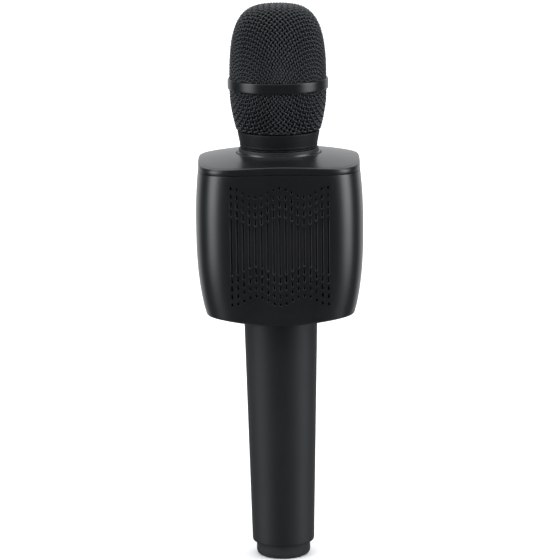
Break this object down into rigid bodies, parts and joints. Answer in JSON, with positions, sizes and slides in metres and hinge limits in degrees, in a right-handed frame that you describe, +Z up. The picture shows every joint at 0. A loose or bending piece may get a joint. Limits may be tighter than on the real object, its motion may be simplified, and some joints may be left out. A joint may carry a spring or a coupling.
{
  "type": "karaoke microphone",
  "caption": "Hand-held wireless karaoke microphone with a woven wire head, a square barrel loudspeaker under it, rear controls and a battery in its round handle.",
  "frame": {"origin": "middle of the end cap's flat underside, on which the microphone stands", "axes": "+Z up along the microphone, the loudspeaker grille faces -Y, the controls face +Y"},
  "size_m": [0.0798, 0.0711, 0.27],
  "materials": {
    "mesh": "satin black woven wire",
    "trim": "semi-gloss black",
    "shell": "fine satin moulded plastic",
    "panel": "gloss black",
    "button": "soft matt rubber",
    "knob": "satin black with a turned face",
    "rubber": "matt",
    "foam": "open-cell foam",
    "cloth": "woven acoustic cloth",
    "board": "green solder resist",
    "component": "moulded component plastic",
    "steel": "plated steel",
    "capsule": "brushed can",
    "ferrite": "ferrite with plated plates",
    "paper": "pressed paper",
    "cell": "heat-shrunk sleeve",
    "lamp": "milky light window",
    "wire": "insulated lead"
  },
  "bodies": {
    "body": {"capsule_stem": "shell", "capsule_cradle": "rubber", "capsule_body": "capsule", "capsule_cover": "mesh", "top_deck": "shell", "front_shell": "shell", "rear_shell": "shell", "acoustic_cloth": "cloth", "case_screw_1": "steel", "case_screw_2": "steel", "case_screw_3": "steel", "case_screw_4": "steel", "speaker_frame": "steel", "speaker_magnet": "ferrite", "speaker_surround": "rubber", "speaker_gasket": "foam", "speaker_screw_1": "steel", "speaker_screw_2": "steel", "speaker_screw_3": "steel", "speaker_screw_4": "steel", "control_panel": "panel", "led_window": "lamp", "button_board": "board", "volume_pot": "steel", "echo_pot": "steel", "previous_switch": "component", "play_switch": "component", "next_switch": "component", "mode_switch": "component", "effect_switch": "component", "usb_socket": "steel", "aux_socket": "component", "main_board": "board", "handle_tube": "shell", "switch_plate": "panel", "power_switch": "steel", "battery_carrier": "component", "battery_cell": "cell", "battery_contact": "steel", "capsule_lead": "wire", "speaker_lead": "wire", "battery_lead": "wire"},
    "head": {"grille_dome": "mesh", "grille_skirt": "mesh", "grille_band": "trim", "grille_collar": "trim", "foam_liner": "foam"},
    "neck_washer": {"head_washer": "rubber"},
    "cap": {"end_cap": "trim", "contact_spring": "steel"},
    "cap_seal": {"cap_gasket": "rubber"},
    "cone": {"speaker_cone": "paper"},
    "volume": {"volume_knob": "knob"},
    "echo": {"echo_knob": "knob"},
    "power": {"power_slider": "knob"},
    "previous": {"previous_button": "button"},
    "play": {"play_button": "button"},
    "next": {"next_button": "button"},
    "mode": {"mode_button": "button"},
    "effect": {"effect_button": "button"}
  },
  "joints": [
    {"name": "head_lift", "type": "slide", "parent": "body", "child": "neck_washer", "axis": [0, 0, 1], "range_m": [0, 0.0045]},
    {"name": "head_turn", "type": "hinge", "parent": "neck_washer", "child": "head", "pos_m": [0, 0, 0.2075], "axis": [0, 0, 1], "range_deg": [0, 1080]},
    {"name": "cap_drop", "type": "slide", "parent": "body", "child": "cap_seal", "axis": [0, 0, -1], "range_m": [0, 0.0045]},
    {"name": "cap_turn", "type": "hinge", "parent": "cap_seal", "child": "cap", "pos_m": [0, 0, 0.007], "axis": [0, 0, -1], "range_deg": [0, 1080]},
    {"name": "cone_travel", "type": "slide", "parent": "body", "child": "cone", "axis": [0, -1, 0], "range_m": [-0.0012, 0.0012], "stiffness_N_per_m": 900},
    {"name": "volume_turn", "type": "hinge", "parent": "body", "child": "volume", "pos_m": [0.0102, 0.031, 0.1695], "axis": [0, 1, 0], "range_deg": [-150, 150]},
    {"name": "echo_turn", "type": "hinge", "parent": "body", "child": "echo", "pos_m": [-0.0102, 0.031, 0.1695], "axis": [0, 1, 0], "range_deg": [-150, 150]},
    {"name": "power_slide", "type": "slide", "parent": "body", "child": "power", "axis": [0, 0, 1], "range_m": [0, 0.004]},
    {"name": "previous_press", "type": "slide", "parent": "body", "child": "previous", "axis": [0, -1, 0], "range_m": [0, 0.0005], "stiffness_N_per_m": 1500, "springref_m": -0.0005},
    {"name": "play_press", "type": "slide", "parent": "body", "child": "play", "axis": [0, -1, 0], "range_m": [0, 0.0005], "stiffness_N_per_m": 1500, "springref_m": -0.0005},
    {"name": "next_press", "type": "slide", "parent": "body", "child": "next", "axis": [0, -1, 0], "range_m": [0, 0.0005], "stiffness_N_per_m": 1500, "springref_m": -0.0005},
    {"name": "mode_press", "type": "slide", "parent": "body", "child": "mode", "axis": [0, -1, 0], "range_m": [0, 0.0005], "stiffness_N_per_m": 1500, "springref_m": -0.0005},
    {"name": "effect_press", "type": "slide", "parent": "body", "child": "effect", "axis": [0, -1, 0], "range_m": [0, 0.0005], "stiffness_N_per_m": 1500, "springref_m": -0.0005}
  ],
  "couplings": [
    {"joint": "head_turn", "follows": "head_lift", "rad_per_m": 4188.8},
    {"joint": "cap_turn", "follows": "cap_drop", "rad_per_m": 4188.8}
  ]
}
